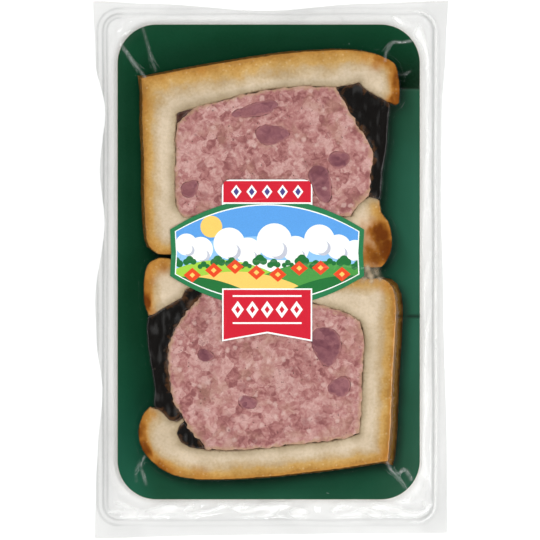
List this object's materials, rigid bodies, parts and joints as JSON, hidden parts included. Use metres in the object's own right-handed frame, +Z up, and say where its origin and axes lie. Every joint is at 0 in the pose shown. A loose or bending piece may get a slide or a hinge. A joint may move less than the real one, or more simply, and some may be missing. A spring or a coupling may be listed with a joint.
{
  "type": "vacuum pack of pate en croute slices",
  "caption": "Slices of pate en croute lying on a green card in a flat clear vacuum pouch with a printed label.",
  "frame": {"origin": "middle of the pouch's footprint, on the face it rests on", "axes": "+X to the pack's right and +Y to its top as its label is read, +Z up out of the label"},
  "size_m": [0.15, 0.227, 0.0146],
  "materials": {
    "clear_film": "clear glossy plastic film",
    "green_card": "coated green card, soft sheen",
    "baked_pastry": "cut baked pastry, dry and matt",
    "forcemeat": "moist minced meat, soft sheen",
    "ham": "moist cured meat, soft sheen",
    "jelly": "dark glossy jelly",
    "printed_label": "printed label, soft gloss"
  },
  "bodies": {
    "root": {"pouch": "clear_film", "card": "green_card", "label": "printed_label", "upper_crust": "baked_pastry", "upper_forcemeat": "forcemeat", "upper_ham_1": "ham", "upper_ham_2": "ham", "upper_ham_3": "ham", "upper_ham_4": "ham", "upper_ham_5": "ham", "upper_jelly": "jelly", "upper_jelly_pocket": "jelly", "lower_crust": "baked_pastry", "lower_forcemeat": "forcemeat", "lower_ham_1": "ham", "lower_ham_2": "ham", "lower_ham_3": "ham", "lower_ham_4": "ham", "lower_jelly": "jelly", "lower_jelly_pocket": "jelly"}
  },
  "joints": []
}
